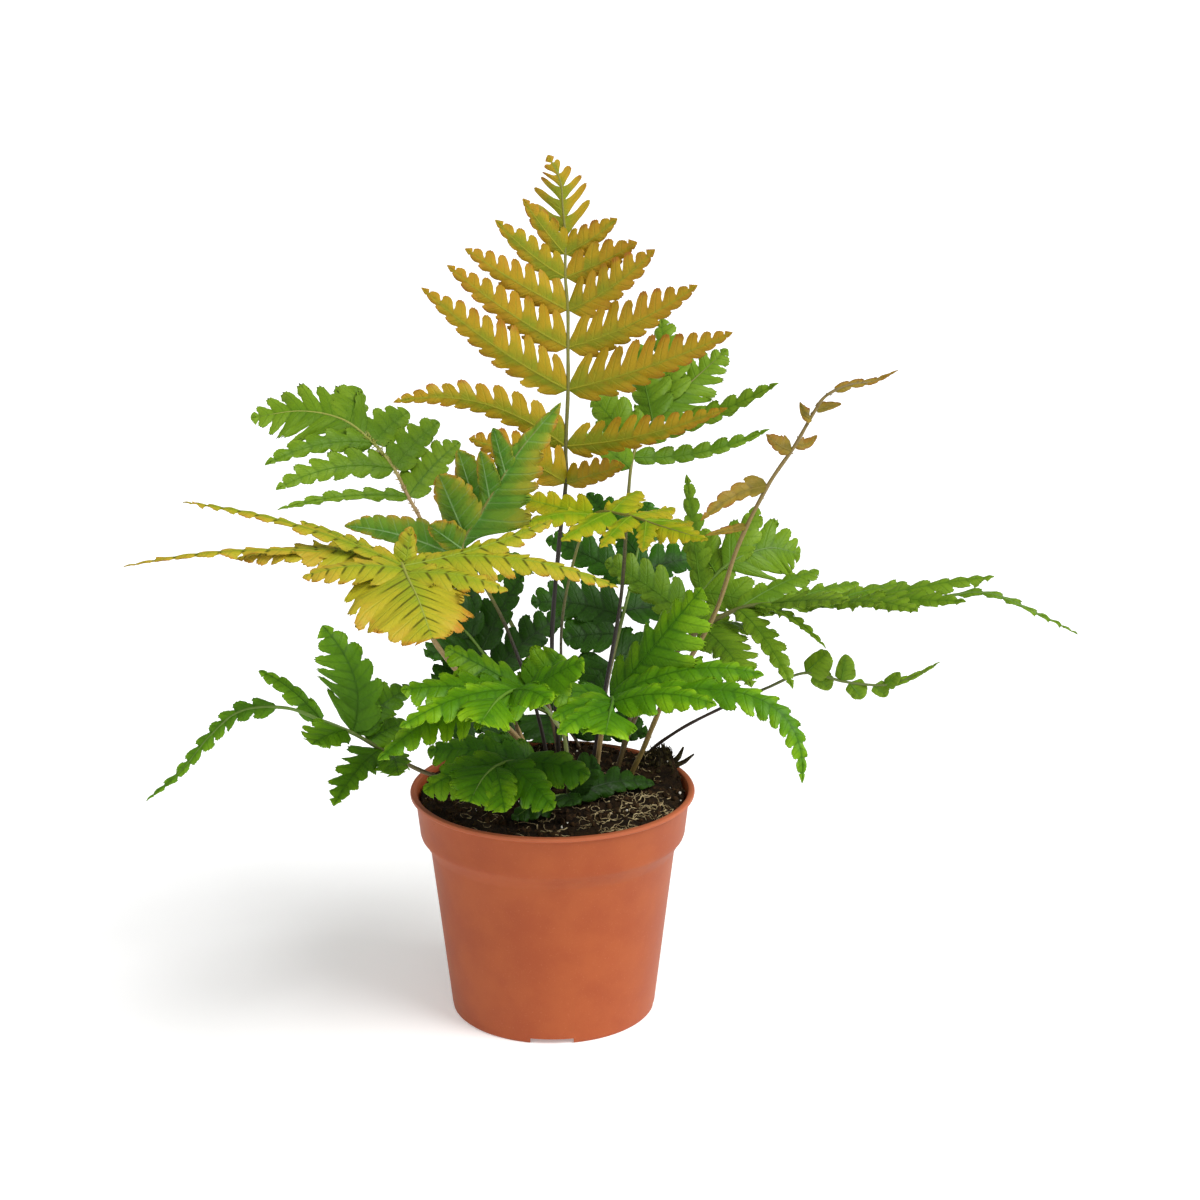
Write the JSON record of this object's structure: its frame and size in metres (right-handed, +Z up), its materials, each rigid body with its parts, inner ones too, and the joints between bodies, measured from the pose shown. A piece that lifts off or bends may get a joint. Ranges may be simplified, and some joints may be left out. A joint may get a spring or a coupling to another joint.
{
  "type": "potted autumn fern",
  "caption": "Young autumn fern with copper, amber and green lobed fronds, growing from a soil crown in a round plastic nursery pot.",
  "frame": {"origin": "on the surface that the pot stands on, at the pot's axis", "axes": "+Z up, +Y away from the viewer of the picture, +X to the viewer's right"},
  "size_m": [0.3782, 0.2864, 0.3591],
  "materials": {
    "pot": "satin terracotta-coloured moulded plastic",
    "soil": "moist fibrous potting soil",
    "leaf_copper": "thin new leaf, bronze to copper",
    "leaf_amber": "thin young leaf, yellow to amber",
    "leaf_green": "leathery leaf with a soft sheen",
    "leaf_shade": "older leathery leaf, dark green",
    "stem_straw": "dry scaly stalk"
  },
  "bodies": {
    "root": {"pot": "pot", "soil": "soil", "frond_copper_tall": "leaf_copper", "frond_green_behind": "leaf_green", "frond_green_high_left": "leaf_green", "frond_amber_arching": "leaf_amber", "frond_amber_upright": "leaf_amber", "frond_lime_middle": "leaf_amber", "frond_straw_stem": "stem_straw", "frond_green_reaching": "leaf_green", "frond_green_upper_right": "leaf_green", "frond_sprig_right": "leaf_green", "frond_green_front_right": "leaf_green", "frond_green_front_left": "leaf_green", "frond_green_over_rim": "leaf_green", "frond_green_low_left": "leaf_green", "frond_shade_behind": "leaf_shade", "frond_shade_left": "leaf_shade", "frond_shade_low": "leaf_shade", "frond_shade_over_soil": "leaf_shade", "frond_green_back_left": "leaf_green", "frond_green_back_right": "leaf_green"}
  },
  "joints": []
}
